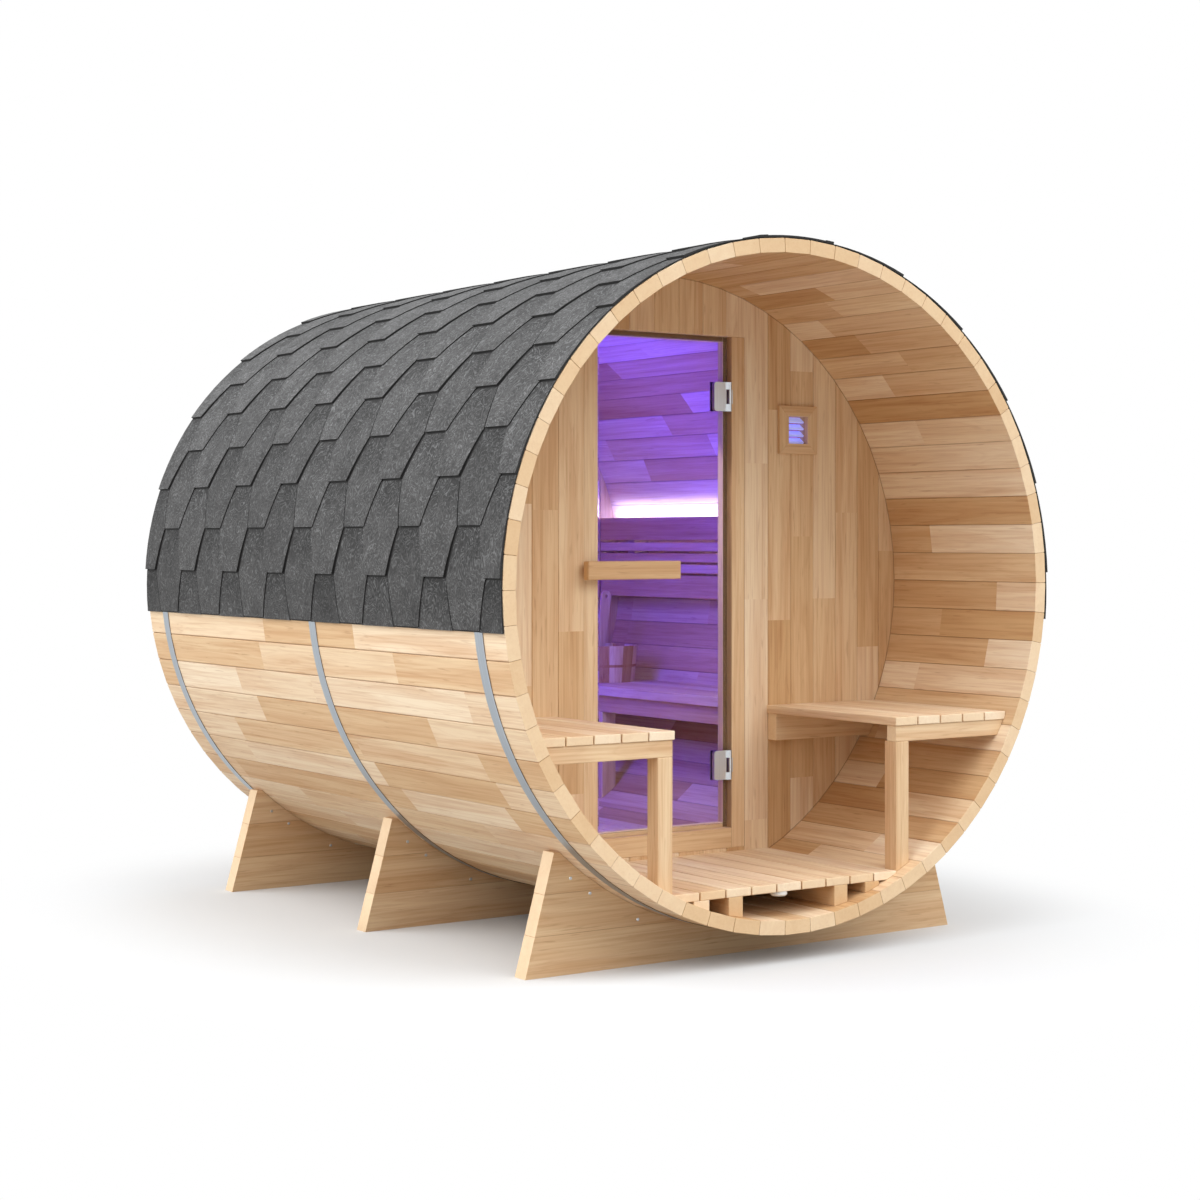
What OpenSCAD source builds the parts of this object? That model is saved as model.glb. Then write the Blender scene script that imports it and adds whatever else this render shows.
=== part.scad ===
// Barrel sauna with an open porch, in millimetres.
// The origin is on the ground under the middle of the barrel. +X points right and +Z up for
// someone facing the porch, and +Y points to the back.

/* [Barrel] */
// Width across the outer faces of the staves
barrel_d = 1830; // [1760:10:1960]
// Length from rim to rim
barrel_l = 2135; // [2000:5:2700]
// Clear height between the ground and the lowest stave
ground_clear = 75; // [50:5:120]
// Number of staves, a multiple of six
stave_n = 66; // [54:6:78]
// Thickness of a stave
stave_t = 38; // [32:1:45]
// Open joint between two staves
stave_gap = 0.4; // [0.2:0.1:0.8]
// Bevel along the outer edges of a stave
stave_bevel = 2.5; // [1:0.5:5]
// Bevel along the inner edges of a stave
stave_inner_bevel = 1.5; // [0.5:0.5:3]
// Depth of the groove in the staves that holds the end walls
croze_depth = 10; // [6:1:14]
// Room left where a piece meets a curve
seat_clear = 0.3; // [0.2:0.1:0.5]

/* [Bands] */
// Width of a steel band
band_w = 38; // [25:1:50]
// Thickness of a steel band
band_t = 1.2; // [0.8:0.1:2]
// Middle of the front band, from the front rim
front_band_inset = 120; // [80:5:160]
// How far the middle band lies in front of the barrel's middle
middle_band_shift = 60; // [50:5:120]
// Middle of the back band, from the back rim
back_band_inset = 125; // [90:5:135]

/* [Saddles] */
// Thickness of a saddle board
saddle_t = 50; // [38:1:60]
// Width of the flat at each upper corner of a saddle
saddle_ear = 17.5; // [12:0.5:40]
// How far a saddle's foot reaches beyond its upper corners
saddle_flare = 87; // [40:1:120]
// Height of a saddle's upper corners
saddle_h = 315; // [270:5:330]
// Middle of the front saddle, from the front rim
front_saddle_inset = 225; // [200:5:300]
// Middle of the back saddle, from the back rim
back_saddle_inset = 190; // [180:5:260]

/* [Roof] */
// Angle of the eaves, measured from the top of the barrel
eave_angle = 96.5; // [85:0.5:105]
// Shingle courses on each side
course_n = 12; // [8:1:14]
// Thickness of the roof at the lower edge of a course
course_butt_t = 5.5; // [4:0.5:8]
// Thickness of the roof at the upper edge of a course
course_head_t = 2.5; // [1.5:0.5:3.5]
// Half angle that the ridge cap covers
ridge_angle = 6.5; // [4:0.5:8]
// Thickness of the ridge cap
ridge_t = 3; // [2:0.5:5]

/* [End walls] */
// Thickness of the end walls
wall_t = 38; // [32:1:45]
// Depth of the porch, from the front rim to the wall
porch_d = 600; // [560:5:800]
// Depth of the back wall's recess
back_recess = 20; // [15:5:80]

/* [Door frame] */
// Width of the doorway between the posts
doorway_w = 472; // [440:2:520]
// Middle of the doorway, right of the barrel's middle
doorway_shift = 9; // [0:1:20]
// Height of the wall above the doorway
head_h = 162; // [130:1:220]
// Width of a door post
post_w = 48; // [40:1:70]
// Height of the sill board
sill_h = 58; // [40:1:80]
// Gap between the floor and the sill, closed by the wall
sill_lift = 10; // [5:1:20]
// Width of the stops round the doorway
stop_w = 15; // [14:1:26]
// Depth of the stops, from front to back
stop_d = 25; // [15:1:35]
// Room between the closed glass and the stops
stop_room = 5; // [5:0.5:8]

/* [Door] */
// Thickness of the glass
glass_t = 8; // [6:1:10]
// Room between the glass and the posts
glass_side_room = 10; // [8:1:14]
// Room above and below the glass
glass_end_room = 14; // [8:1:18]
// How far the glass lies behind the wall's face
glass_set_back = 10; // [9:1:16]
// Length of the wooden handle
handle_l = 319; // [260:1:360]
// Height of the wooden handle
handle_h = 52; // [40:1:70]
// Thickness of the wooden handle
handle_t = 24; // [18:1:35]
// How far the handle runs past the doorway's edge
handle_overrun = 59; // [20:1:80]
// Middle of the handle, above the sill
handle_lift = 754; // [650:1:850]
// Room between the handle and the wall's face
handle_room = 15; // [12:1:30]
// Diameter of the two pegs behind the handle
peg_d = 18; // [12:1:24]
// Distance between the pegs
peg_pitch = 160; // [120:5:180]
// Middle of the peg nearer the closing edge, from the glass's edge
peg_inset = 36; // [30:1:60]

/* [Hinges] */
// Height of a hinge
hinge_h = 85; // [70:1:100]
// Middle of the upper hinge, from the glass's upper edge
upper_hinge_inset = 162; // [80:2:260]
// Middle of the lower hinge, from the glass's lower edge
lower_hinge_inset = 170; // [80:2:260]
// Height of the middle knuckle
middle_knuckle_h = 41; // [30:1:50]
// Diameter of a knuckle
knuckle_d = 11; // [10:0.5:14]
// Diameter of a hinge pin
pin_d = 6; // [5:0.5:7]
// Running clearance round a pin
pin_clear = 0.08; // [0.05:0.01:0.1]
// Gap between two knuckles
knuckle_gap = 0.6; // [0.4:0.1:1]
// How far the pins stand in front of the wall's face
pin_out = 3; // [2:0.5:5]
// Slot between the front clamp plate and the middle knuckle
knuckle_slot = 6.5; // [4:0.5:9]
// Width of a front clamp plate on the glass, left of the slot
clamp_w = 44; // [30:1:50]
// Thickness of a front clamp plate
clamp_t = 12; // [9:0.5:13]
// Radius of the front clamp plate's corners
clamp_corner_r = 9; // [5:1:12]
// Width of a clamp plate behind the glass
back_clamp_w = 24; // [18:1:26]
// Thickness of a plate of the fixed leaf and of a rear clamp plate
leaf_t = 3; // [2:0.5:4]

/* [Vent] */
// Outer width of the vent frame
vent_frame_w = 143; // [120:1:170]
// Width of the vent's opening
vent_w = 72; // [60:1:90]
// Height of the vent's opening
vent_h = 81; // [60:1:95]
// How far the vent frame stands out from the wall
vent_frame_t = 11; // [8:1:24]
// Middle of the vent, from the door post
vent_side = 195; // [110:1:250]
// Middle of the vent, below the top of the doorway
vent_drop = 266; // [220:1:400]
// Number of louvres
louvre_n = 4; // [3:1:5]
// Thickness of a louvre
louvre_t = 5; // [4:0.5:7]
// Depth of a louvre, along its slope
louvre_d = 24; // [18:1:28]
// Slope of a louvre
louvre_angle = 35; // [20:1:45]

/* [Floor] */
// Top of the floor, above the lowest inner face of the staves
floor_lift = 92; // [80:1:110]
// Number of floor slats
floor_slat_n = 9; // [7:2:9]
// Room between the floor's edge and the staves, at its top
floor_room = 13; // [8:1:40]
// Gap between two slats of a floor or bench
slat_gap = 4.5; // [3:0.5:8]
// Thickness of a floor slat
floor_slat_t = 22; // [18:1:24]
// How far the porch floor and benches stay behind the front rim
rim_set_back = 35; // [20:1:60]
// Middle of a joist, from the barrel's axis
joist_x = 179; // [150:1:190]
// Width of a joist
joist_w = 46; // [38:1:50]
// Middle of a side cleat, from the barrel's axis
cleat_x = 290; // [270:1:300]
// Width of a side cleat
cleat_w = 50; // [40:1:56]
// Width of a cross batten under the slats
batten_w = 45; // [35:1:60]
// Thickness of a cross batten
batten_t = 20; // [16:1:24]
// Middle of an end batten, from the end of its floor
batten_inset = 120; // [80:5:160]
// Diameter of the drain cap under the porch floor
drain_d = 46; // [30:1:60]
// Height of the drain cap
drain_h = 13; // [8:1:20]

/* [Porch benches] */
// Top of the benches, above the floor
bench_lift = 420; // [380:1:460]
// How far a porch bench reaches over the floor
bench_over = 2; // [-20:1:3]
// Number of slats in a porch bench
bench_slat_n = 5; // [4:1:5]
// Room between the last slat of a bench and the staves
bench_room = 6; // [4:1:20]
// Thickness of a porch bench slat
bench_slat_t = 23; // [18:1:30]
// Height of the front rail
rail_h = 44; // [38:1:60]
// Thickness of the front rail and the wall ledger
rail_t = 38; // [28:1:45]
// Height of the wall ledger
ledger_h = 79; // [50:1:100]
// Width of a bench leg
leg_w = 47; // [38:1:60]
// How far rails and legs stay behind the slats' edges
rail_set_back = 4; // [2:1:10]

/* [Cabin bench] */
// Depth of the cabin bench, from its front edge to the staves
cabin_bench_d = 342; // [330:1:400]
// Number of slats in the cabin bench
cabin_slat_n = 4; // [3:1:4]
// Thickness of a cabin bench slat
cabin_slat_t = 31; // [22:1:38]
// Height of the apron and the bearers
apron_h = 56; // [40:1:70]
// Thickness of the apron
apron_t = 28; // [20:1:34]
// How far the apron stays behind the front edge
apron_set_back = 14; // [6:1:24]
// Width of a cabin bench leg
cabin_leg_w = 55; // [40:1:70]
// Thickness of a leg and of a bearer
bearer_t = 36; // [28:1:45]
// Middle of the back leg, from the back wall
back_leg_inset = 465; // [300:5:500]
// Middle of the front leg, from the front wall
front_leg_inset = 122; // [80:2:200]

/* [Backrest] */
// Room between the back of the backrest and the staves, at its top
backrest_room = 43; // [30:1:70]
// Thickness of the backrest boards
backrest_t = 22; // [16:1:26]
// Lower edge of the backrest, above the bench
backrest_lift = 289; // [220:1:320]
// Height of the lowest board
low_board_h = 77; // [60:1:100]
// Height of the top board
top_board_h = 80; // [60:1:100]
// Height of a narrow slat
thin_slat_h = 30; // [22:1:40]
// Number of narrow slats
thin_slat_n = 3; // [2:1:4]
// Gap between the backrest boards
backrest_gap = 7.5; // [5:0.5:10]
// Room between the backrest's ends and the walls
backrest_end_room = 8; // [5:1:40]
// Width of a batten behind the backrest
backrest_batten_w = 40; // [30:1:60]
// Middle of an end batten, from the end of the backrest
backrest_batten_inset = 160; // [100:5:250]
// Height of the light strip
light_h = 10; // [6:1:14]
// Depth of the light strip
light_d = 14; // [8:1:20]
// How far the light strip stays below the top of the backrest
light_drop = 9; // [4:1:20]

/* [Bucket and ladle] */
// Outer diameter of the bucket at its rim
bucket_top_d = 230; // [200:2:240]
// Outer diameter of the bucket at its foot
bucket_foot_d = 205; // [180:2:210]
// Height of the bucket
bucket_h = 125; // [100:1:160]
// Thickness of the bucket's wall and bottom
bucket_wall = 11; // [8:1:14]
// Middle of the bucket, from the cabin bench's front edge
bucket_set_back = 165; // [130:1:190]
// Middle of the bucket, from the back wall
bucket_inset = 277; // [180:1:320]
// Diameter of the ladle's bowl
ladle_d = 84; // [70:1:100]
// Height of the ladle's bowl
ladle_bowl_h = 45; // [35:1:60]
// Thickness of the ladle's bowl and handle
ladle_t = 7; // [5:0.5:9]
// Length of the ladle's handle
ladle_l = 290; // [240:5:320]
// Width of the ladle's handle at its upper end
ladle_grip_w = 41; // [30:1:48]
// Width of the ladle's handle at the bowl
ladle_neck_w = 24; // [18:1:28]
// Lean of the ladle's handle
ladle_lean = 7; // [0:1:10]

/* [Hidden] */
$fn = 96;

// Barrel
outer_r = barrel_d / 2;
inner_r = outer_r - stave_t;
axis_z = ground_clear + outer_r;
front_y = -barrel_l / 2;
back_y = barrel_l / 2;
stave_pitch = 360 / stave_n;
group_n = stave_n / 6;
function half_stave(r) = r * tan(stave_pitch / 2) - stave_gap / 2;
stave_top_half = half_stave(outer_r) - stave_bevel;
// Radius of the circle that just holds the stave corners
stave_corner_r = norm([outer_r, stave_top_half]);
// Half width of a circle at a height above or below its middle
function half_chord(r, z) = sqrt(r * r - z * z);
band_r = stave_corner_r + seat_clear;
// A box or plate of this size reaches past the barrel
beyond = barrel_d;

// Saddles
saddle_r = stave_corner_r + seat_clear;
saddle_top = saddle_h - axis_z;
saddle_top_x = half_chord(saddle_r, saddle_top) + saddle_ear;
saddle_foot_x = saddle_top_x + saddle_flare;

// Roof
roof_r = band_r + band_t + seat_clear;
course_angle = eave_angle / course_n;
// Flat steps that make up the curve of one course
course_steps = 4;
ridge_r = roof_r + course_butt_t + seat_clear;

// End walls
wall_y = front_y + porch_d;
cabin_front_y = wall_y + wall_t;
back_wall_y = back_y - back_recess - wall_t;
wall_r = inner_r + croze_depth - seat_clear;

// Doorway
floor_top = floor_lift - inner_r;
floor_x = half_chord(inner_r, floor_top) - floor_room;
floor_pitch = (2 * floor_x + slat_gap) / floor_slat_n;
sill_bottom = floor_top + sill_lift;
sill_top = sill_bottom + sill_h;
doorway_top = inner_r - head_h;
doorway_left = doorway_shift - doorway_w / 2;
doorway_right = doorway_shift + doorway_w / 2;
post_left = doorway_left - post_w;
post_right = doorway_right + post_w;
glass_left = doorway_left + glass_side_room;
glass_right = doorway_right - glass_side_room;
glass_y = wall_y + glass_set_back;
glass_bottom = sill_top + glass_end_room;
glass_top = doorway_top - glass_end_room;
stop_y = glass_y + glass_t + stop_room;
handle_y = wall_y - handle_room;
handle_z = sill_top + handle_lift;

// Hinges, measured from the pin
knuckle_r = knuckle_d / 2;
pin_r = pin_d / 2;
pin_x = doorway_right - leaf_t - knuckle_r;
pin_y = wall_y - pin_out;
outer_knuckle_h = (hinge_h - middle_knuckle_h) / 2;
glass_face = pin_out + glass_set_back;
clamp_face = glass_face - clamp_t;
clamp_right = -(knuckle_r + knuckle_slot);
clamp_left = clamp_right - clamp_w;
hinge_zs = [glass_top - upper_hinge_inset, glass_bottom + lower_hinge_inset];

// Vent
vent_x = post_right + vent_side;
vent_z = doorway_top - vent_drop;

// Floor
floor_bottom = floor_top - floor_slat_t;
porch_floor_y = front_y + rim_set_back;
floor_spans = [[porch_floor_y, wall_y], [cabin_front_y, back_wall_y]];
batten_half = cleat_x - cleat_w / 2;

// Benches
bench_top = floor_top + bench_lift;
bench_bottom = bench_top - bench_slat_t;
bench_wall_x = half_chord(inner_r, bench_top);
bench_edge_x = floor_x - bench_over;
bench_pitch = (bench_wall_x - bench_room - bench_edge_x + slat_gap) / bench_slat_n;
rail_x = bench_edge_x + rail_set_back;
rail_y = porch_floor_y + rail_set_back;
cabin_edge_x = bench_wall_x - cabin_bench_d;
cabin_slat_bottom = bench_top - cabin_slat_t;
apron_x = cabin_edge_x + apron_set_back;
apron_bottom = cabin_slat_bottom - apron_h;
front_leg_y = cabin_front_y + front_leg_inset;
back_leg_y = back_wall_y - back_leg_inset;
bearer_ys = [cabin_front_y + bearer_t / 2, front_leg_y, back_leg_y, back_wall_y - bearer_t / 2];

// Backrest
thin_slat_bottom = low_board_h + backrest_gap;
thin_slat_pitch = thin_slat_h + backrest_gap;
top_board_bottom = thin_slat_bottom + thin_slat_n * thin_slat_pitch;
backrest_h = top_board_bottom + top_board_h;
backrest_bottom = bench_top + backrest_lift;
backrest_top = backrest_bottom + backrest_h;
backrest_back_x = half_chord(inner_r, backrest_top) - backrest_room;
backrest_y0 = cabin_front_y + backrest_end_room;
backrest_y1 = back_wall_y - backrest_end_room;
light_top = backrest_top - light_drop;
light_bottom = light_top - light_h;

// Bucket
bucket_x = cabin_edge_x + bucket_set_back;
bucket_y = back_wall_y - bucket_inset;
bucket_z = axis_z + bench_top;

cream = "#ecd0a2";
pine = "#dcb585";
amber = "#c89560";
steel = "#a4a8ac";
slate = "#4c4d50";

// Draws an upright outline, given as x and height above the barrel's axis, from y0 to y1
module along_y(y0, y1) {
    translate([0, y1, axis_z])
        rotate([90, 0, 0])
            linear_extrude(y1 - y0)
                children();
}

module rect(x0, x1, z0, z1) {
    translate([x0, z0])
        square([x1 - x0, z1 - z0]);
}

// Outline of the staved barrel at a given distance from its axis
module barrel_outline(r) {
    corner_r = r / cos(stave_pitch / 2);
    polygon([for (i = [0:stave_n - 1])
        let (a = (i + 0.5) * stave_pitch)
            corner_r * [sin(a), cos(a)]]);
}

// What is left of an outline inside the staves
module inside_staves() {
    intersection() {
        barrel_outline(inner_r - seat_clear);
        children();
    }
}

module both_sides() {
    children();
    mirror([1, 0, 0])
        children();
}

module stave_outline() {
    low = half_stave(inner_r + stave_inner_bevel);
    low_flat = half_stave(inner_r) - stave_inner_bevel;
    high = half_stave(outer_r - stave_bevel);
    polygon([
        [-low_flat, inner_r], [low_flat, inner_r],
        [low, inner_r + stave_inner_bevel], [high, outer_r - stave_bevel],
        [stave_top_half, outer_r], [-stave_top_half, outer_r],
        [-high, outer_r - stave_bevel], [-low, inner_r + stave_inner_bevel]
    ]);
}

// One stave, with the grooves across it that take the edges of the end walls
module stave(index) {
    angle = -index * stave_pitch;
    half = half_stave(outer_r);
    difference() {
        along_y(front_y, back_y)
            rotate(angle)
                stave_outline();
        for (y0 = [wall_y, back_wall_y])
            along_y(y0 - seat_clear, y0 + wall_t + seat_clear)
                rotate(angle)
                    rect(-half, half, inner_r - croze_depth, inner_r + croze_depth);
    }
}

// One sixth of the staves, counted clockwise from the top
module stave_group(sixth) {
    first = sixth * group_n - floor(group_n / 2);
    color(pine)
        for (i = [first:first + group_n - 1])
            stave(i);
}

module band(y) {
    color(steel)
        along_y(y - band_w / 2, y + band_w / 2)
            difference() {
                circle(r = band_r + band_t);
                circle(r = band_r);
            }
}

module saddle(y) {
    color(cream)
        along_y(y - saddle_t / 2, y + saddle_t / 2)
            difference() {
                polygon([
                    [-saddle_foot_x, -axis_z], [saddle_foot_x, -axis_z],
                    [saddle_top_x, saddle_top], [-saddle_top_x, saddle_top]
                ]);
                circle(r = saddle_r);
            }
}

// One side of the roof: each course is thicker at its lower edge, where it laps the next
module shingle_side() {
    step = course_angle / course_steps;
    chord = cos(step / 2);
    outer = [for (c = [0:course_n - 1], s = [0:course_steps])
        let (a = c * course_angle + s * step,
             t = course_head_t + (course_butt_t - course_head_t) * s / course_steps)
            (roof_r + t) * [sin(a), cos(a)]];
    inner = [for (i = [course_n * course_steps:-1:0])
        roof_r / chord * [sin(i * step), cos(i * step)]];
    color(slate)
        along_y(front_y, back_y)
            polygon(concat(outer, inner));
}

module ridge_cap() {
    color(slate)
        along_y(front_y, back_y)
            intersection() {
                difference() {
                    circle(r = ridge_r + ridge_t);
                    circle(r = ridge_r);
                }
                polygon([[0, 0], beyond * [-sin(ridge_angle), cos(ridge_angle)],
                         beyond * [sin(ridge_angle), cos(ridge_angle)]]);
            }
}

// The part of an end wall that lies inside an outline
module wall_piece(y) {
    color(amber)
        along_y(y, y + wall_t)
            intersection() {
                barrel_outline(wall_r);
                children();
            }
}

module front_wall_left() {
    wall_piece(wall_y)
        rect(-beyond, post_left, -beyond, beyond);
}

module front_wall_right() {
    wall_piece(wall_y)
        difference() {
            rect(post_right, beyond, -beyond, beyond);
            translate([vent_x, vent_z])
                square([vent_w, vent_h], center = true);
        }
}

module front_wall_over_door() {
    wall_piece(wall_y)
        rect(post_left, post_right, doorway_top, beyond);
}

module front_wall_under_door() {
    wall_piece(wall_y)
        rect(post_left, post_right, -beyond, sill_bottom);
}

module back_wall() {
    wall_piece(back_wall_y)
        square(2 * beyond, center = true);
}

module right_door_post() {
    color(pine)
        along_y(wall_y, cabin_front_y)
            rect(doorway_right, post_right, sill_bottom, doorway_top);
}

module left_door_post() {
    color(pine)
        along_y(wall_y, cabin_front_y)
            rect(post_left, doorway_left, sill_bottom, doorway_top);
}

module door_sill() {
    color(pine)
        along_y(wall_y, cabin_front_y)
            rect(doorway_left, doorway_right, sill_bottom, sill_top);
}

// Strips behind the glass, on the posts, under the wall above and on the sill
module door_stops() {
    x0 = doorway_left + stop_w;
    x1 = doorway_right - stop_w;
    color(amber)
        along_y(stop_y, stop_y + stop_d) {
            rect(doorway_left, x0, sill_top, doorway_top);
            rect(x1, doorway_right, sill_top, doorway_top);
            rect(x0 + stave_gap, x1 - stave_gap, doorway_top - stop_w, doorway_top);
            rect(x0 + stave_gap, x1 - stave_gap, sill_top, sill_top + stop_w);
        }
}

module door_glass() {
    color("#b9a8dc", 0.4)
        along_y(glass_y, glass_y + glass_t)
            rect(glass_left, glass_right, glass_bottom, glass_top);
}

module door_handle() {
    x0 = doorway_left - handle_overrun;
    color(cream)
        along_y(handle_y - handle_t, handle_y)
            rect(x0, x0 + handle_l, handle_z - handle_h / 2, handle_z + handle_h / 2);
}

module handle_pegs() {
    first_x = glass_left + peg_inset;
    color(pine)
        along_y(handle_y, glass_y)
            for (x = [first_x, first_x + peg_pitch])
                translate([x, handle_z])
                    circle(d = peg_d);
}

// Puts a hinge piece, drawn round its pin from z = 0, at both hinges
module at_hinges() {
    for (z = hinge_zs)
        translate([pin_x, pin_y, axis_z + z - hinge_h / 2])
            children();
}

// Knuckle of the moving plate, with the arm that carries it
module clamp_knuckle() {
    difference() {
        linear_extrude(outer_knuckle_h - knuckle_gap) {
            circle(r = knuckle_r);
            polygon([
                [clamp_right - leaf_t, clamp_face], [-0.7 * knuckle_r, -0.7 * knuckle_r],
                [0, -pin_r], [0, pin_r], [-knuckle_r / 2, knuckle_r - leaf_t / 2],
                [-knuckle_r, glass_face], [clamp_right - leaf_t, glass_face]
            ]);
        }
        translate([0, 0, -1])
            cylinder(h = outer_knuckle_h + 2, r = pin_r + pin_clear);
    }
}

// Plates that grip the glass, with the outer knuckles of each hinge
module hinge_clamps() {
    r = clamp_corner_r;
    color(steel)
        at_hinges() {
            translate([0, glass_face, 0])
                rotate([90, 0, 0])
                    linear_extrude(clamp_t) {
                        rect(clamp_left + r, clamp_right, 0, hinge_h);
                        rect(clamp_left, clamp_left + r, r, hinge_h - r);
                        for (z = [r, hinge_h - r])
                            translate([clamp_left + r, z])
                                circle(r = r);
                    }
            clamp_knuckle();
            translate([0, 0, outer_knuckle_h + middle_knuckle_h + knuckle_gap])
                clamp_knuckle();
            translate([clamp_left, glass_face + glass_t, 0])
                cube([back_clamp_w, leaf_t, hinge_h]);
        }
}

// Plates on the post's edge, each with the middle knuckle and the pin
module hinge_leaves() {
    leaf_x = knuckle_r + leaf_t;
    leaf_back = stop_y - pin_y - stop_room;
    color(steel)
        at_hinges() {
            cylinder(h = hinge_h, r = pin_r);
            translate([0, 0, outer_knuckle_h])
                linear_extrude(middle_knuckle_h) {
                    circle(r = knuckle_r);
                    rect(0, leaf_x, -pin_r, pin_r);
                    rect(knuckle_r, leaf_x, 0, leaf_back);
                }
        }
}

module vent_frame() {
    color(pine)
        along_y(wall_y - vent_frame_t, wall_y)
            translate([vent_x, vent_z])
                difference() {
                    square(vent_frame_w, center = true);
                    square([vent_w, vent_h], center = true);
                }
}

module vent_louvres() {
    pitch = vent_h / louvre_n;
    blade_w = vent_w - 2 * seat_clear;
    color(amber)
        for (i = [0:louvre_n - 1])
            translate([vent_x, wall_y + wall_t / 2,
                       axis_z + vent_z + (i - (louvre_n - 1) / 2) * pitch])
                rotate([louvre_angle, 0, 0])
                    cube([blade_w, louvre_d, louvre_t], center = true);
}

// Slats that run front to back, from x0 to the right
module slats(x0, n, pitch, z0, z1, y0, y1) {
    along_y(y0, y1)
        for (i = [0:n - 1])
            inside_staves()
                rect(x0 + i * pitch, x0 + (i + 1) * pitch - slat_gap, z0, z1);
}

module floor_slats(span) {
    color(pine)
        slats(-floor_x, floor_slat_n, floor_pitch, floor_bottom, floor_top, span[0], span[1]);
}

// Places of the cross battens under one floor
function batten_ys(span) = [
    span[0] + batten_inset,
    (span[0] + span[1]) / 2,
    span[1] - batten_inset
];

module batten(y, room) {
    along_y(y - batten_w / 2 - room, y + batten_w / 2 + room)
        rect(-batten_half - room, batten_half + room,
             floor_bottom - batten_t - room, floor_bottom + room);
}

module floor_battens() {
    color(pine)
        for (span = floor_spans, y = batten_ys(span))
            batten(y, 0);
}

// Joists and side cleats, cut to the barrel below and notched for the battens above
module floor_joists() {
    color(pine)
        for (span = floor_spans)
            difference() {
                along_y(span[0], span[1])
                    inside_staves()
                        both_sides() {
                            rect(joist_x - joist_w / 2, joist_x + joist_w / 2, -beyond, floor_bottom);
                            rect(cleat_x - cleat_w / 2 + seat_clear, cleat_x + cleat_w / 2,
                                 -beyond, floor_bottom);
                        }
                for (y = batten_ys(span))
                    batten(y, seat_clear);
            }
}

module drain_cap() {
    rim = drain_h / 3;
    color("#d4d6d8")
        translate([-drain_d / 2 + slat_gap, porch_floor_y + drain_d / 2, axis_z + floor_bottom - drain_h])
            rotate_extrude()
                polygon([[0, 0], [drain_d / 2 - rim, 0], [drain_d / 2, rim],
                         [drain_d / 2, drain_h], [0, drain_h]]);
}

module right_bench_slats() {
    color(pine)
        slats(bench_edge_x, bench_slat_n, bench_pitch, bench_bottom, bench_top,
              porch_floor_y, wall_y);
}

module left_bench_slats() {
    mirror([1, 0, 0])
        right_bench_slats();
}

module bench_rails() {
    color(pine)
        along_y(rail_y, rail_y + rail_t)
            inside_staves()
                both_sides()
                    rect(rail_x, beyond, bench_bottom - rail_h, bench_bottom);
}

module bench_ledgers() {
    color(pine)
        along_y(wall_y - rail_t, wall_y)
            inside_staves()
                both_sides()
                    rect(rail_x, beyond, bench_bottom - ledger_h, bench_bottom);
}

module bench_legs() {
    color(pine)
        along_y(rail_y, rail_y + leg_w)
            inside_staves()
                both_sides()
                    rect(rail_x, rail_x + leg_w, -beyond, bench_bottom - rail_h);
}

module cabin_bench_slats() {
    color(amber)
        slats(cabin_edge_x, cabin_slat_n, bench_pitch, cabin_slat_bottom, bench_top,
              cabin_front_y, back_wall_y);
}

module cabin_bench_apron() {
    color(amber)
        along_y(cabin_front_y, back_wall_y)
            rect(apron_x, apron_x + apron_t, apron_bottom, cabin_slat_bottom);
}

module cabin_bench_bearers() {
    color(amber)
        for (y = bearer_ys)
            along_y(y - bearer_t / 2, y + bearer_t / 2)
                inside_staves()
                    rect(apron_x + apron_t, beyond, apron_bottom, cabin_slat_bottom);
}

module cabin_bench_legs() {
    color(amber)
        for (y = [front_leg_y, back_leg_y])
            along_y(y - bearer_t / 2, y + bearer_t / 2)
                inside_staves()
                    rect(apron_x, apron_x + cabin_leg_w, floor_top, apron_bottom);
}

module backrest_boards() {
    color(amber)
        along_y(backrest_y0, backrest_y1)
            translate([backrest_back_x - backrest_t, backrest_bottom]) {
                square([backrest_t, low_board_h]);
                for (i = [0:thin_slat_n - 1])
                    translate([0, thin_slat_bottom + i * thin_slat_pitch])
                        square([backrest_t, thin_slat_h]);
                translate([0, top_board_bottom])
                    square([backrest_t, top_board_h]);
            }
}

module backrest_battens() {
    half = backrest_batten_w / 2;
    color(amber)
        for (y = [backrest_y0 + backrest_batten_inset, (backrest_y0 + backrest_y1) / 2,
                  backrest_y1 - backrest_batten_inset])
            along_y(y - half, y + half)
                inside_staves()
                    rect(backrest_back_x, beyond, backrest_bottom, light_bottom);
}

module light_strip() {
    color("#c9a2ff")
        along_y(backrest_y0, backrest_y1)
            rect(backrest_back_x, backrest_back_x + light_d, light_bottom, light_top);
}

module water_bucket() {
    foot_r = bucket_foot_d / 2;
    rim_r = bucket_top_d / 2;
    // Where the inner face of the sloping wall meets the bottom
    floor_r = foot_r + (rim_r - foot_r) * bucket_wall / bucket_h - bucket_wall;
    color(cream)
        translate([bucket_x, bucket_y, bucket_z])
            rotate_extrude()
                polygon([[0, 0], [foot_r, 0], [rim_r, bucket_h], [rim_r - bucket_wall, bucket_h],
                         [floor_r, bucket_wall], [0, bucket_wall]]);
}

module ladle_handle() {
    grip_r = ladle_grip_w / 2;
    neck_r = ladle_neck_w / 2;
    rotate([90, 0, 0])
        linear_extrude(ladle_t, center = true)
            difference() {
                union() {
                    polygon([[-neck_r, 0], [neck_r, 0], [grip_r, ladle_l - grip_r],
                             [-grip_r, ladle_l - grip_r]]);
                    translate([0, ladle_l - grip_r])
                        circle(r = grip_r);
                }
                translate([0, ladle_l - grip_r])
                    circle(r = grip_r / 3);
            }
}

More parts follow.
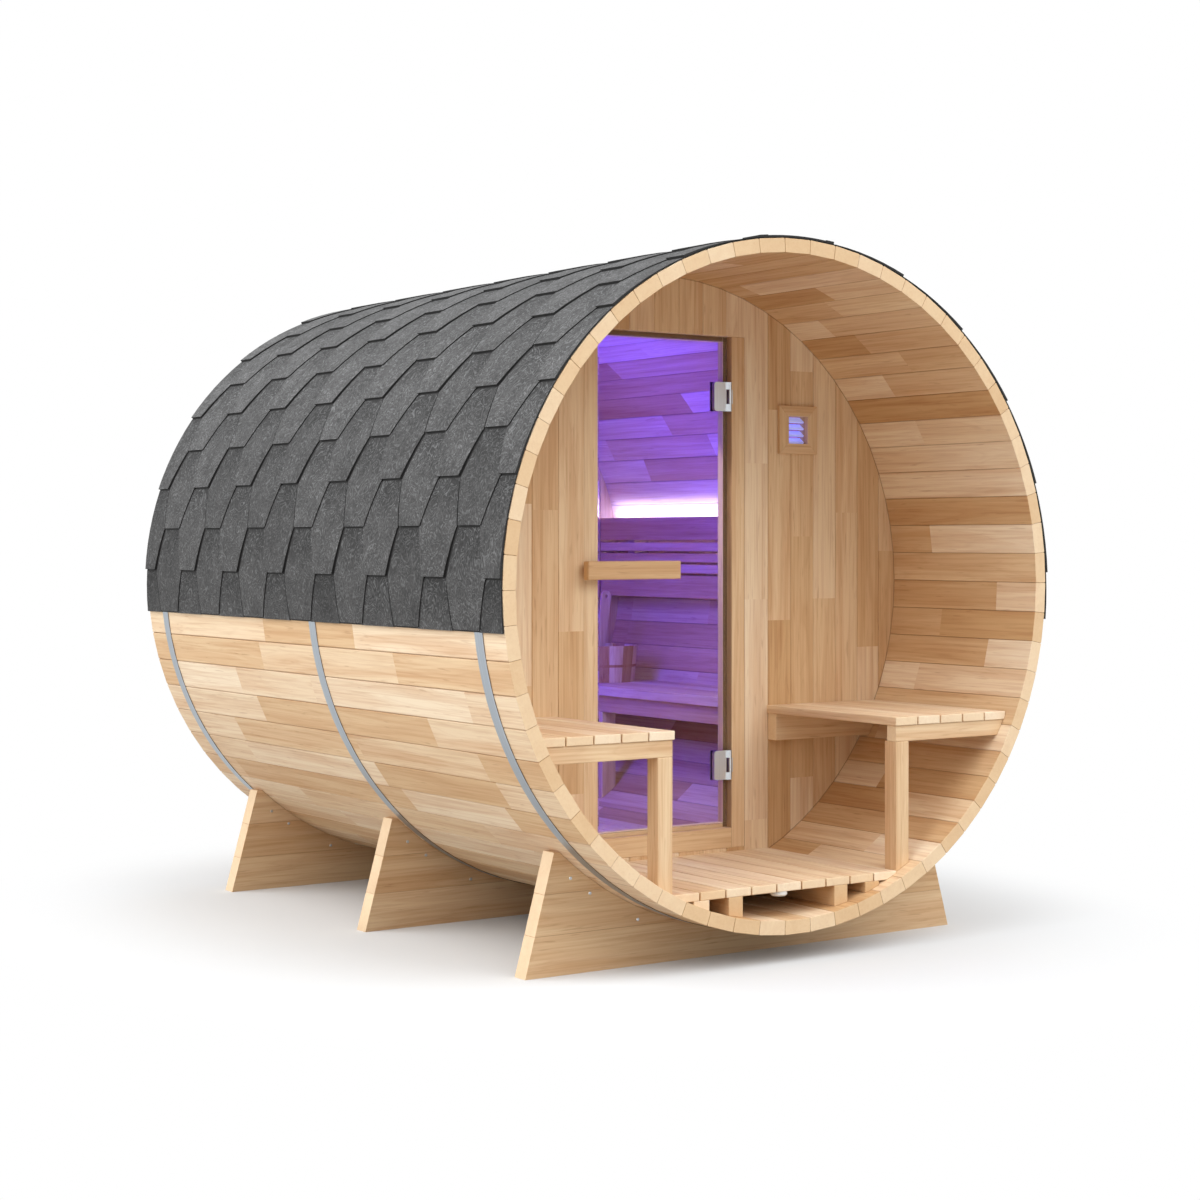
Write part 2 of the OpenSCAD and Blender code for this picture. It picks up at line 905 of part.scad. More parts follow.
module ladle() {
    bowl_r = ladle_d / 2;
    color(amber)
        translate([bucket_x, bucket_y, bucket_z + bucket_wall + seat_clear]) {
            rotate_extrude()
                polygon([[0, 0], [bowl_r, 0], [bowl_r, ladle_bowl_h], [bowl_r - ladle_t, ladle_bowl_h],
                         [bowl_r - ladle_t, ladle_t], [0, ladle_t]]);
            translate([0, bowl_r - ladle_t / 2, ladle_neck_w / 2])
                rotate([0, ladle_lean, 0])
                    ladle_handle();
        }
}

stave_group(0);  // top_staves
stave_group(1);  // upper_right_staves
stave_group(2);  // lower_right_staves
stave_group(3);  // bottom_staves
stave_group(4);  // lower_left_staves
stave_group(5);  // upper_left_staves
band(front_y + front_band_inset);  // front_band
band(-middle_band_shift);  // middle_band
band(back_y - back_band_inset);  // back_band
saddle(front_y + front_saddle_inset);  // front_saddle
saddle(0);  // middle_saddle
saddle(back_y - back_saddle_inset);  // back_saddle
shingle_side();  // right_shingles
mirror([1, 0, 0]) shingle_side();  // left_shingles
ridge_cap();
front_wall_left();
front_wall_right();
front_wall_over_door();
front_wall_under_door();
back_wall();
left_door_post();
right_door_post();
door_sill();
door_stops();
door_glass();
door_handle();
handle_pegs();
hinge_clamps();
hinge_leaves();
vent_frame();
vent_louvres();
floor_slats(floor_spans[0]);  // porch_floor_slats
floor_slats(floor_spans[1]);  // cabin_floor_slats
floor_joists();
floor_battens();
drain_cap();
left_bench_slats();
right_bench_slats();
bench_rails();
bench_ledgers();
bench_legs();
cabin_bench_slats();
cabin_bench_apron();
cabin_bench_bearers();
cabin_bench_legs();
backrest_boards();
backrest_battens();
light_strip();
water_bucket();
ladle();
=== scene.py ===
"""Looks of a barrel sauna: planed boards, hexagon shingles, steel, glass, light and camera."""
import math
import random

import bmesh
import bpy
from mathutils import Matrix, Vector


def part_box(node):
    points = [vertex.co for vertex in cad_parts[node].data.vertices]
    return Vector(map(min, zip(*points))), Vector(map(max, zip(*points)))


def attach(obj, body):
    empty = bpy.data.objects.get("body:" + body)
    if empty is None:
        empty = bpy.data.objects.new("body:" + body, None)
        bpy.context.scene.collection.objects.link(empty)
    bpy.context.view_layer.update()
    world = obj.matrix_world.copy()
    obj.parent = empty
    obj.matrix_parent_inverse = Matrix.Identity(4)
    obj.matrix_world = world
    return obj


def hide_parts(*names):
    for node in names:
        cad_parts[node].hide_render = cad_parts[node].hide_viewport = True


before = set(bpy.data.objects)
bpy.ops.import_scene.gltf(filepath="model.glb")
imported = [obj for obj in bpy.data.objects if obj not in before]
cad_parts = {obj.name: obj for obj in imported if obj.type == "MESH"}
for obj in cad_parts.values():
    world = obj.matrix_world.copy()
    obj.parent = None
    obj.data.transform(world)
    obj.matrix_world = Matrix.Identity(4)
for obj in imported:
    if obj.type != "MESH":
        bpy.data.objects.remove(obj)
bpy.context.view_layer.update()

MM = 0.001
AXES = {"x": Vector((1, 0, 0)), "y": Vector((0, 1, 0)), "z": Vector((0, 0, 1))}
LETTERS = "xyz"

# Sizes of the barrel, as in the part's source
STAVES = 66
AXIS_Z = 990 * MM
INNER_R = 877 * MM
ROOF_R = 917.7 * MM
FRONT_Y = -1067.5 * MM
BACK_Y = 1067.5 * MM

# How closely points are merged, cuts snap to points, and places match
MERGE = 0.02 * MM
SNAP = 0.001 * MM
NEAR = 0.01 * MM

# How far an edge follows a direction that it runs along, and how far the normal of a face follows
# one that the face is square to, or turned to
ALONG = 0.999
SQUARE = 0.9
TURNED = 0.7


# Colour and nodes

def srgb(text):
    """A hex colour as linear red, green, blue and alpha."""
    def linear(pair):
        value = int(pair, 16) / 255
        return value / 12.92 if value <= 0.04045 else ((value + 0.055) / 1.055) ** 2.4
    return tuple(linear(text[i:i + 2]) for i in (0, 2, 4)) + (1.0,)


def node(tree, kind, settings=None, values=None, links=None):
    """Adds one node, sets its properties and input values, and links its inputs."""
    made = tree.nodes.new("ShaderNode" + kind)
    for name, value in (settings or {}).items():
        setattr(made, name, value)
    for socket, value in (values or {}).items():
        made.inputs[socket].default_value = value
    for socket, source in (links or {}).items():
        tree.links.new(source, made.inputs[socket])
    return made.outputs


def material(name, **values):
    """A new material with its shader's own sockets set. Gives it, its node tree and its shader."""
    made = bpy.data.materials.new(name)
    made.use_nodes = True
    shader = made.node_tree.nodes["Principled BSDF"]
    for socket, value in values.items():
        shader.inputs[socket.replace("_", " ")].default_value = value
    return made, made.node_tree, shader


# Materials

def planed_wood(name, grain, dark, middle, light):
    """Planed pale hardwood without finish: matt, long soft streaks and fine fibres along each
    board, and a tone of its own for every length that was glued into the board."""
    made, tree, shader = material(name, Specular_IOR_Level=0.3)
    place = node(tree, "TexCoord")["Object"]
    tone = node(tree, "Attribute", {"attribute_name": "tone"})["Fac"]
    seed = node(tree, "Attribute", {"attribute_name": "seed"})["Fac"]
    # Each glued length comes from another place in the tree, metres away
    away = (31, 53, 77)
    shift = node(tree, "VectorMath", {"operation": "SCALE"}, {0: away}, {"Scale": seed})[0]
    tree_place = node(tree, "VectorMath", {"operation": "ADD"}, None, {0: place, 1: shift})[0]

    def streaks(width, length, detail, twist):
        """Noise whose spots are as wide across the grain and as long along it as given."""
        size = [1 / width] * 3
        size[LETTERS.index(grain)] = 1 / length
        stretched = node(tree, "Mapping", None, {"Scale": size}, {"Vector": tree_place})[0]
        return node(tree, "TexNoise", None,
                    {"Scale": 1.0, "Detail": detail, "Roughness": 0.55, "Distortion": twist},
                    {"Vector": stretched})["Fac"]

    figure = streaks(46 * MM, 800 * MM, 2.0, 0.7)
    # Real fibres are under 1 mm: these are drawn wider so that they show
    fibre = streaks(7 * MM, 320 * MM, 3.0, 0.4)
    fleck = streaks(7 * MM, 85 * MM, 1.0, 0.2)
    speck = streaks(2 * MM, 24 * MM, 2.0, 0.0)
    # Growth rings follow the contours of the broad figure
    contours = 9.0
    many = node(tree, "Math", {"operation": "MULTIPLY"}, {1: contours}, {0: figure})[0]
    rings = node(tree, "Math", {"operation": "PINGPONG"}, {1: 0.5}, {0: many})[0]

    end = node(tree, "Attribute", {"attribute_name": "end"})["Fac"]
    # Sawn ends show hardly any of the streaks
    streaked = node(tree, "MapRange", None, {"To Min": 1.0, "To Max": 0.25}, {"Value": end})[0]

    low = node(tree, "MapRange", None, {"From Min": 0.0, "From Max": 0.5}, {"Value": tone})[0]
    high = node(tree, "MapRange", None, {"From Min": 0.5, "From Max": 1.0}, {"Value": tone})[0]
    toned = node(tree, "MixRGB", None, {"Color1": srgb(dark), "Color2": srgb(middle)},
                 {"Fac": low})[0]
    toned = node(tree, "MixRGB", None, {"Color2": srgb(light)},
                 {"Fac": high, "Color1": toned})[0]
    # Pattern, levels at which its stain starts and is full, the most there is of it, and its colour
    stains = (
        (figure, 0.40, 0.68, 0.38, "D3A678"),
        (fibre, 0.45, 0.72, 0.31, "C49566"),
        (rings, 0.30, 0.50, 0.10, "BE8F60"),
        (fleck, 0.67, 0.76, 0.24, "A87444"),
    )
    for pattern, start, full, share, stain in stains:
        amount = node(tree, "MapRange", None,
                      {"From Min": start, "From Max": full, "To Max": share},
                      {"Value": pattern})[0]
        amount = node(tree, "Math", {"operation": "MULTIPLY"}, None, {0: amount, 1: streaked})[0]
        toned = node(tree, "MixRGB", {"blend_type": "MULTIPLY"}, {"Color2": srgb(stain)},
                     {"Fac": amount, "Color1": toned})[0]
    # Painted shade in the joints darkens the faces along a joint towards brown
    joint = node(tree, "Attribute", {"attribute_name": "joint"})["Fac"]
    toned = node(tree, "MixRGB", {"blend_type": "MULTIPLY"}, {"Color2": srgb("8A5E38")},
                 {"Fac": joint, "Color1": toned})[0]
    tree.links.new(toned, shader.inputs["Base Color"])
    rough = node(tree, "MapRange", None, {"To Min": 0.5, "To Max": 0.68}, {"Value": fibre})[0]
    tree.links.new(rough, shader.inputs["Roughness"])
    relief = node(tree, "Math", {"operation": "ADD"}, None, {0: fibre, 1: speck})[0]
    bump = node(tree, "Bump", None, {"Strength": 0.25, "Distance": 0.4 * MM}, {"Height": relief})
    tree.links.new(bump[0], shader.inputs["Normal"])
    return made


def mineral_shingle():
    """Bitumen shingle strewn with slate granules: dead matt, dark grey, speckled, each one a
    little darker where the next course shades it."""
    made, tree, shader = material("mineral_shingle", Roughness=0.93)
    place = node(tree, "TexCoord")["Object"]
    tone = node(tree, "Attribute", {"attribute_name": "tone"})["Fac"]
    lap = node(tree, "Attribute", {"attribute_name": "lap"})["Fac"]
    # Real granules are 1 to 2 mm: these are drawn at about 4 mm so that they show
    grit = node(tree, "TexNoise", None,
                {"Scale": 1 / (7 * MM), "Detail": 3.0, "Roughness": 0.7},
                {"Vector": place})["Fac"]
    cloud = node(tree, "TexNoise", None,
                 {"Scale": 1 / (60 * MM), "Detail": 3.0}, {"Vector": place})["Fac"]
    # Strands of the glass mat show through the granules, along the contours of a noise
    contours = 5.0
    swirl = node(tree, "TexNoise", None,
                 {"Scale": 1 / (48 * MM), "Detail": 0.0, "Distortion": 2.2},
                 {"Vector": place})["Fac"]
    levels = node(tree, "Math", {"operation": "MULTIPLY"}, {1: contours}, {0: swirl})[0]
    strand = node(tree, "Math", {"operation": "PINGPONG"}, {1: 0.5}, {0: levels})[0]
    shade = node(tree, "MapRange", {"interpolation_type": "SMOOTHSTEP"},
                 {"From Min": 0.9, "From Max": 2.0}, {"Value": lap})[0]
    grey = node(tree, "MixRGB", None, {"Color1": srgb("767677"), "Color2": srgb("565657")},
                {"Fac": shade})[0]
    line = node(tree, "MapRange", None, {"From Max": 0.2, "To Min": 0.8, "To Max": 0.0},
                {"Value": strand})[0]
    grey = node(tree, "MixRGB", None, {"Color2": srgb("B2B4B6")},
                {"Fac": line, "Color1": grey})[0]
    grey = node(tree, "MixRGB", {"blend_type": "MULTIPLY"},
                {"Fac": 1.0}, {"Color1": grey, "Color2": tone})[0]
    spot = node(tree, "MapRange", None, {"From Min": 0.35, "From Max": 0.68}, {"Value": grit})[0]
    grey = node(tree, "MixRGB", {"blend_type": "OVERLAY"}, {"Fac": 0.42},
                {"Color1": grey, "Color2": spot})[0]
    grey = node(tree, "MixRGB", {"blend_type": "SOFT_LIGHT"}, {"Fac": 0.6},
                {"Color1": grey, "Color2": cloud})[0]
    tree.links.new(grey, shader.inputs["Base Color"])
    bump = node(tree, "Bump", None, {"Strength": 0.5, "Distance": 1.2 * MM}, {"Height": grit})
    tree.links.new(bump[0], shader.inputs["Normal"])
    return made


def mottle(tree, shader, size, deep, pale, rough=None):
    """Lets the colour, and the roughness if given, vary in soft spots. Gives the colour."""
    place = node(tree, "TexCoord")["Object"]
    spots = node(tree, "TexNoise", None, {"Scale": 1 / size}, {"Vector": place})["Fac"]
    colour = node(tree, "MixRGB", None, {"Color1": srgb(deep), "Color2": srgb(pale)},
                  {"Fac": spots})[0]
    tree.links.new(colour, shader.inputs["Base Color"])
    if rough:
        sheen = node(tree, "MapRange", None, {"To Min": rough[0], "To Max": rough[1]},
                     {"Value": spots})[0]
        tree.links.new(sheen, shader.inputs["Roughness"])
    return colour


def bitumen_and_shadow_lines():
    """Bare bitumen at the cut edges and under the shingles: black, with a dull, fine skin. Under
    the shingles it serves as painted shadow in the gaps.
    """
    made, tree, shader = material("bitumen_and_shadow_lines")
    mottle(tree, shader, 9 * MM, "141414", "242424", (0.7, 0.95))
    return made


def brushed_steel(name, colour, deep, across, roughness):
    """Rolled stainless strip: metal with fine lines along its length and a soft sheen."""
    made, tree, shader = material(name, Metallic=1.0)
    place = node(tree, "TexCoord")["Object"]
    size = [4.0] * 3
    size[LETTERS.index(across)] = 1 / (2.5 * MM)
    stretched = node(tree, "Mapping", None, {"Scale": size}, {"Vector": place})[0]
    lines = node(tree, "TexNoise", None, {"Scale": 1.0, "Detail": 2.0},
                 {"Vector": stretched})["Fac"]
    cloud = node(tree, "TexNoise", None, {"Scale": 1 / (70 * MM)}, {"Vector": place})["Fac"]
    tint = node(tree, "MixRGB", None, {"Color1": srgb(deep), "Color2": srgb(colour)},
                {"Fac": lines})[0]
    tree.links.new(tint, shader.inputs["Base Color"])
    rough = node(tree, "MapRange", None,
                 {"To Min": roughness - 0.06, "To Max": roughness + 0.08}, {"Value": cloud})[0]
    tree.links.new(rough, shader.inputs["Roughness"])
    bump = node(tree, "Bump", None, {"Strength": 0.1, "Distance": 0.2 * MM}, {"Height": lines})
    tree.links.new(bump[0], shader.inputs["Normal"])
    return made


def float_glass():
    """Coated float glass: clear and smooth, with hardly any reflection."""
    return material("float_glass", Roughness=0.0, IOR=1.1, Transmission_Weight=1.0,
                    Base_Color=srgb("FAFCFB"))[0]


def led_diffuser():
    """Opal cover of a light strip: an even violet-white glow."""
    return material("led_diffuser", Roughness=0.5, Base_Color=srgb("F4E9FA"),
                    Emission_Color=srgb("9A98FF"), Emission_Strength=12.0)[0]


def painted_louvre_glow():
    """The vent's louvres with painted light: a pale lilac-blue glow stands in for the cabin's light
    falling on them.
    """
    made, tree, shader = material("painted_louvre_glow", Roughness=0.45, Emission_Strength=0.55)
    colour = mottle(tree, shader, 25 * MM, "8F93D8", "B3B8F4")
    tree.links.new(colour, shader.inputs["Emission Color"])
    return made


def painted_gap_shade():
    """Painted shade for shadowed gaps: dark brown, dull, with a faint mottle."""
    made, tree, shader = material("painted_gap_shade")
    mottle(tree, shader, 8 * MM, "6A4E35", "82613F", (0.6, 0.8))
    return made


def moulded_plastic():
    """Moulded pale grey plastic: satin, with a faint mottle."""
    made, tree, shader = material("moulded_plastic")
    mottle(tree, shader, 6 * MM, "D8D6D2", "E6E4E0", (0.35, 0.5))
    return made


WOOD = [planed_wood("planed_wood_grain_" + axis, axis, "CCA371", "E8CCA6", "F6E4C9")
        for axis in LETTERS]
SHINGLE = mineral_shingle()
BITUMEN_AND_SHADOW = bitumen_and_shadow_lines()
BAND_STEEL = brushed_steel("rolled_band_steel", "BCC3CA", "9BA2A9", "y", 0.42)
HINGE_STEEL = brushed_steel("satin_hinge_steel", "DCE1E6", "B8BDC2", "x", 0.36)
GLASS = float_glass()
GLOW = led_diffuser()
PLASTIC = moulded_plastic()
GAP_SHADE = painted_gap_shade()
LOUVRE_GLOW = painted_louvre_glow()


# Mesh helpers

def node_mesh(*names):
    """A merged copy of CAD nodes, with triangles of one plane joined to a face."""
    bm = bmesh.new()
    for name in names:
        bm.from_mesh(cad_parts[name].data)
    bmesh.ops.remove_doubles(bm, verts=bm.verts, dist=MERGE)
    flatten(bm)
    return bm


def flatten(bm):
    """Joins faces that lie in one plane, to half a degree."""
    bmesh.ops.dissolve_limit(bm, angle_limit=math.radians(0.5), verts=bm.verts, edges=bm.edges)


def solids(bm):
    """Lists of faces, one for each separate solid."""
    for face in bm.faces:
        face.tag = False
    groups = []
    for first in bm.faces:
        if first.tag:
            continue
        first.tag = True
        group = [first]
        for face in group:
            for edge in face.edges:
                for other in edge.link_faces:
                    if not other.tag:
                        other.tag = True
                        group.append(other)
        groups.append(group)
    return groups


def round_edges(bm, edges, width, segments=2):
    """Rounds these edges."""
    bmesh.ops.bevel(bm, geom=edges, offset=width, offset_type="OFFSET", affect="EDGES",
                    segments=segments, profile=0.5, material=-1, clamp_overlap=True)


def is_sharp(edge, angle):
    """Whether two faces meet at an edge, and turn there by more than the angle."""
    return len(edge.link_faces) == 2 and edge.calc_face_angle(0) > angle


def ease(bm, width, degrees=35):
    """Rounds every edge that is sharper than the angle."""
    round_edges(bm, [e for e in bm.edges if is_sharp(e, math.radians(degrees))], width)


def whole(bm):
    """All the geometry of a mesh."""
    return bm.verts[:] + bm.edges[:] + bm.faces[:]


def cut(bm, point, normal, parts=None, clear_outer=False):
    """Draws edges where a plane meets a mesh, or the given parts of it."""
    bmesh.ops.bisect_plane(bm, geom=parts or whole(bm), dist=SNAP, plane_co=point,
                           plane_no=normal, clear_outer=clear_outer)


def trim(bm, point, outward):
    """Cuts away what lies beyond a plane, and closes the cut."""
    cut(bm, point, outward, clear_outer=True)
    border = [e for e in bm.edges if e.is_boundary]
    if border:
        bmesh.ops.holes_fill(bm, edges=border, sides=0)


def join(target, part):
    """Adds one mesh to another and frees it."""
    carrier = bpy.data.meshes.new("carrier")
    part.to_mesh(carrier)
    part.free()
    target.from_mesh(carrier)
    bpy.data.meshes.remove(carrier)


# Edges of a cut that turn by more than this, in radians, get the V
CUT_ANGLE = 0.5


def split_boards(bm, across, edges, joint):
    """Cuts a solid into boards between the edges, with a small V along each joint."""
    made = bmesh.new()
    axis = AXES[across]
    for low, high in zip(edges, edges[1:]):
        part = bm.copy()
        trim(part, axis * high, axis)
        trim(part, axis * low, -axis)
        if not part.faces:
            part.free()
            continue
        flatten(part)
        at_cut = [e for e in part.edges
                  if all(min(abs(v.co.dot(axis) - low), abs(v.co.dot(axis) - high)) < NEAR
                         for v in e.verts) and is_sharp(e, CUT_ANGLE)]
        if at_cut:
            round_edges(part, at_cut, joint, 1)
        join(made, part)
    bm.free()
    return made


def extent(faces):
    """The lowest and the highest corner of some faces."""
    points = [v.co for face in faces for v in face.verts]
    low = Vector([min(p[i] for p in points) for i in range(3)])
    high = Vector([max(p[i] for p in points) for i in range(3)])
    return low, high


def place_key(low, high):
    """The middle of a board in tenths of a millimetre, to sort by."""
    return tuple(round(value / MM, 1) for value in (low + high) / 2)


# Painted shade in the joints: how dark a face along a joint is
JOINT_SHADE = 0.32

# Glued lengths in shares of the usual one: the first, those that follow, and the shortest end
FIRST_LENGTH = (0.15, 1.0)
NEXT_LENGTH = (0.55, 1.45)
SHORTEST_END = 0.12


def grade_boards(bm, rng, grain=None, length=None, spread=1.0, joints=None, centre=0.5,
                 shade=JOINT_SHADE):
    """Gives each solid its grain, and each glued length of it a tone and its own figure. Joints
    names the direction across the boards, or round for staves: faces along a joint get painted
    shade."""
    # All layers are added before any is read, because adding one moves the others
    for name in ("tone", "seed", "joint", "end"):
        bm.faces.layers.float.new(name)
    board = bm.faces.layers.int.new("board")
    tone = bm.faces.layers.float["tone"]
    seed = bm.faces.layers.float["seed"]
    joint = bm.faces.layers.float["joint"]
    end = bm.faces.layers.float["end"]
    bm.normal_update()
    # The boards go by their place, so that every run draws the same tones
    groups = sorted(solids(bm), key=lambda group: place_key(*extent(group)))
    extents = [extent(group) for group in groups]
    for number, group in enumerate(groups):
        for face in group:
            face[board] = number
    for number, (low, high) in enumerate(extents):
        size = high - low
        axis = LETTERS.index(grain) if grain else max(range(3), key=lambda i: size[i])
        cuts = []
        if length:
            at = low[axis] + rng.uniform(*FIRST_LENGTH) * length
            while at < high[axis] - SHORTEST_END * length:
                cuts.append(at)
                at += rng.uniform(*NEXT_LENGTH) * length
        direction = AXES[LETTERS[axis]]
        for at in cuts:
            faces = [f for f in bm.faces if f[board] == number]
            edges = list(dict.fromkeys(e for f in faces for e in f.edges))
            verts = list(dict.fromkeys(v for f in faces for v in f.verts))
            cut(bm, direction * at, direction, verts + edges + faces)
        tones = [centre + spread * (rng.random() - 0.5) for _ in range(len(cuts) + 1)]
        seeds = [rng.random() for _ in tones]
        across = AXES.get(joints, Vector())
        if joints == "round":
            middle = (low + high) / 2
            across = Vector((middle.z - AXIS_Z, 0, -middle.x)).normalized()
        for face in bm.faces:
            if face[board] == number:
                along = face.calc_center_median()[axis]
                part = sum(along > at for at in cuts)
                face[tone] = tones[part]
                face[seed] = seeds[part]
                # Painted shade: the more a face looks across the boards, the darker it is
                face[joint] = shade * abs(face.normal.dot(across))
                face[end] = float(abs(face.normal[axis]) > SQUARE)
                face.material_index = axis


def piece(bm, name, body, nodes, materials):
    """Makes the finished piece, which rides on a body and stands for its CAD nodes."""
    mesh = bpy.data.meshes.new(name)
    bm.to_mesh(mesh)
    bm.free()
    for made in materials:
        mesh.materials.append(made)
    obj = bpy.data.objects.new(name, mesh)
    bpy.context.scene.collection.objects.link(obj)
    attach(obj, body)
    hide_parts(*nodes)


# Staves

# Usual length between glued joints, chamfers, and the least turn, in radians, of a long edge
STAVE_LENGTH = 800 * MM
STAVE_END_EDGE = 0.8 * MM
STAVE_LONG_EDGE = 1.6 * MM
LONG_EDGE_ANGLE = 1.0

# Middle tone of the sawn ends, the outer and the inner faces, and the share of the spread they
# keep.
# The outer faces are set lighter as painted light.
END_TONE = (0.5, 0.35)
OUTER_LIT_TONE = (0.68, 0.75)
INNER_TONE = (0.55, 0.95)


def staves():
    """Every stave is glued up from lengths of different tone, and its edges are chamfered. Its
    outer faces take a lighter tone as painted light.
    """
    rng = random.Random(13)
    for name in ("top", "upper_right", "lower_right", "bottom", "lower_left", "upper_left"):
        bm = node_mesh(name + "_staves")
        at_end = [e for e in bm.edges
                  if all(abs(abs(v.co.y) - BACK_Y) < NEAR for v in e.verts)]
        round_edges(bm, at_end, STAVE_END_EDGE, 1)
        bm.normal_update()
        long_edges = [e for e in bm.edges
                      if abs((e.verts[0].co - e.verts[1].co).normalized().y) > ALONG
                      and is_sharp(e, LONG_EDGE_ANGLE)]
        round_edges(bm, long_edges, STAVE_LONG_EDGE, 1)
        grade_boards(bm, rng, "y", STAVE_LENGTH, joints="round")
        tone = bm.faces.layers.float["tone"]
        for face in bm.faces:
            middle = face.calc_center_median()
            outward = Vector((middle.x, 0, middle.z - AXIS_Z)).normalized().dot(face.normal)
            if abs(face.normal.y) > SQUARE:
                centre, share = END_TONE
            # Painted light: the outer faces take a lighter middle tone
            elif outward > 0.5:
                centre, share = OUTER_LIT_TONE
            else:
                centre, share = INNER_TONE
            face[tone] = centre + share * (face[tone] - 0.5)
        piece(bm, name + "_stave_boards", "sauna", [name + "_staves"], WOOD)


# Walls, vent and eased boards

BOARD_W = 86.5 * MM
WALL_LENGTH = 700 * MM
WALL_V = 2.2 * MM
WALL_SHADE = 0.12
# Width and darkness of the painted shade where the walls meet the staves
BORDER_W = 3 * MM
BORDER_SHADE = 0.45


def wall_edges(first, step, low, high):
    """Edges of wall boards, from the first joint outwards."""
    joints = []
    at = first
    while low < at < high:
        joints.append(at)
        at += step
    return [low] + sorted(joints) + [high]


def shade_border(bm):
    """Paints shade on a thin border of the wall where it meets the staves."""
    axis = Vector((0, 0, AXIS_Z))
    border = INNER_R - BORDER_W
    turns = [math.tau * step / STAVES for step in range(STAVES)]
    outward = [Vector((math.sin(turn), 0, math.cos(turn))) for turn in turns]
    for direction in outward:
        cut(bm, axis + direction * border, direction)
    joint = bm.faces.layers.float["joint"]
    for face in bm.faces:
        middle = face.calc_center_median() - axis
        if max(middle.dot(direction) for direction in outward) > border:
            face[joint] = BORDER_SHADE


def walls():
    """Upright tongued boards with a fine V joint."""
    rng = random.Random(23)
    # The first joint of each wall, and the step to the next one
    spans = {
        "front_wall_left": (-360 * MM, -BOARD_W),
        "front_wall_right": (381 * MM, BOARD_W),
        "front_wall_over_door": (-205 * MM, BOARD_W),
        "front_wall_under_door": (-205 * MM, BOARD_W),
        "back_wall": (-850 * MM, BOARD_W),
    }
    for name, (first, step) in spans.items():
        low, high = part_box(name)
        edges = wall_edges(first, step, low.x - MM, high.x + MM)
        bm = split_boards(node_mesh(name), "x", edges, WALL_V)
        grade_boards(bm, rng, "z", WALL_LENGTH, 0.85, "x", shade=WALL_SHADE)
        if name != "back_wall":
            shade_border(bm)
        piece(bm, name + "_boards", "sauna", [name], WOOD)


def vent_frame():
    """A frame of four mitred boards."""
    rng = random.Random(31)
    low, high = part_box("vent_frame")
    centre = (low + high) / 2
    frame_bm = bmesh.new()
    for outward in (AXES["x"], -AXES["x"], AXES["z"], -AXES["z"]):
        side = AXES["y"].cross(outward)
        part = node_mesh("vent_frame")
        for mitre in (side - outward, -side - outward):
            trim(part, centre, mitre.normalized())
        flatten(part)
        ease(part, 1.0 * MM)
        join(frame_bm, part)
    grade_boards(frame_bm, rng, spread=0.4)
    piece(frame_bm, "vent_frame_boards", "sauna", ["vent_frame"], WOOD)


def eased_boards(name, nodes, body, seed, edge, grain=None, spread=0.7, centre=0.5,
                 joints=None):
    """Planed boards as the CAD has them, with edges softened by so many millimetres."""
    bm = node_mesh(*nodes)
    ease(bm, edge * MM)
    grade_boards(bm, random.Random(seed), grain, None, spread, joints, centre)
    piece(bm, name, body, nodes, WOOD)


# Saddles

SADDLE_V = 0.8 * MM
SADDLE_EDGE = 2.0 * MM
SADDLE_TONE = 0.42
SADDLE_END_LIT_TONE = 0.6

# The screws stand on a circle round the barrel's axis
SCREW_R = 947 * MM
SCREW_X = (375 * MM, 526 * MM, 586 * MM)
SCREW_D = 11 * MM
SCREW_H = 3 * MM


def screw_head(bm, place):
    """A low steel screw head on a face that looks to the front."""
    turned = Matrix.Translation(place) @ Matrix.Rotation(math.radians(90), 4, "X")
    made = bmesh.ops.create_cone(bm, cap_ends=True, segments=16, radius1=SCREW_D / 2,
                                 radius2=SCREW_D / 3, depth=SCREW_H, matrix=turned)
    for vert in made["verts"]:
        for face in vert.link_faces:
            face.material_index = len(WOOD)


def saddles():
    """Each saddle is glued up from three boards and screwed to the staves."""
    rng = random.Random(47)
    for place in ("front", "middle", "back"):
        name = place + "_saddle"
        low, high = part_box(name)
        third = (high.z - low.z) / 3
        joints = [low.z - MM, third, 2 * third, high.z + MM]
        bm = split_boards(node_mesh(name), "z", joints, SADDLE_V)
        ease(bm, SADDLE_EDGE, 50)
        grade_boards(bm, rng, "x", None, 0.3, "z", SADDLE_TONE)
        tone = bm.faces.layers.float["tone"]
        # Painted light: the end faces take a lighter tone of their own
        for face in bm.faces:
            if abs(face.normal.x) > TURNED:
                face[tone] = SADDLE_END_LIT_TONE
        for x in SCREW_X:
            drop = math.sqrt(SCREW_R ** 2 - x ** 2)
            screw_head(bm, (x, low.y, AXIS_Z - drop))
            screw_head(bm, (-x, low.y, AXIS_Z - drop))
        piece(bm, name + "_boards", "sauna", [name], WOOD + [HINGE_STEEL])


# Roof

# The courses reach from the eave, in degrees from the top, to the ridge
EAVE = 96.5
COURSES = 12
COURSE = math.radians(EAVE / COURSES)
RISE = ROOF_R * COURSE
# Cuts in each course that let a tile follow the curve
BENDS = 3

# How far apart tiles stand, the width of their straight lower ends, on the roof and at the eave,
# and where the first one of even and odd courses stands
TILE_PITCH = 299 * MM
TILE_TIP = 111 * MM
EAVE_TIP = 128 * MM
FIRST_TILE = {0: 163 * MM, 1: 21.5 * MM}

# Height of a tile's lower and upper end, of the base sheet, and the gaps that show it. The gaps
# below and at the front are wide, so that the black sheet draws painted shadow lines there.
TILE_BUTT_H = 6.7 * MM
TILE_HEAD_H = 0.5 * MM
BASE_T = 1.0 * MM
SHADOW_GAP_BELOW = 4.5 * MM
SHADOW_GAP_FRONT = 3.0 * MM
GAP_REST = 0.2 * MM

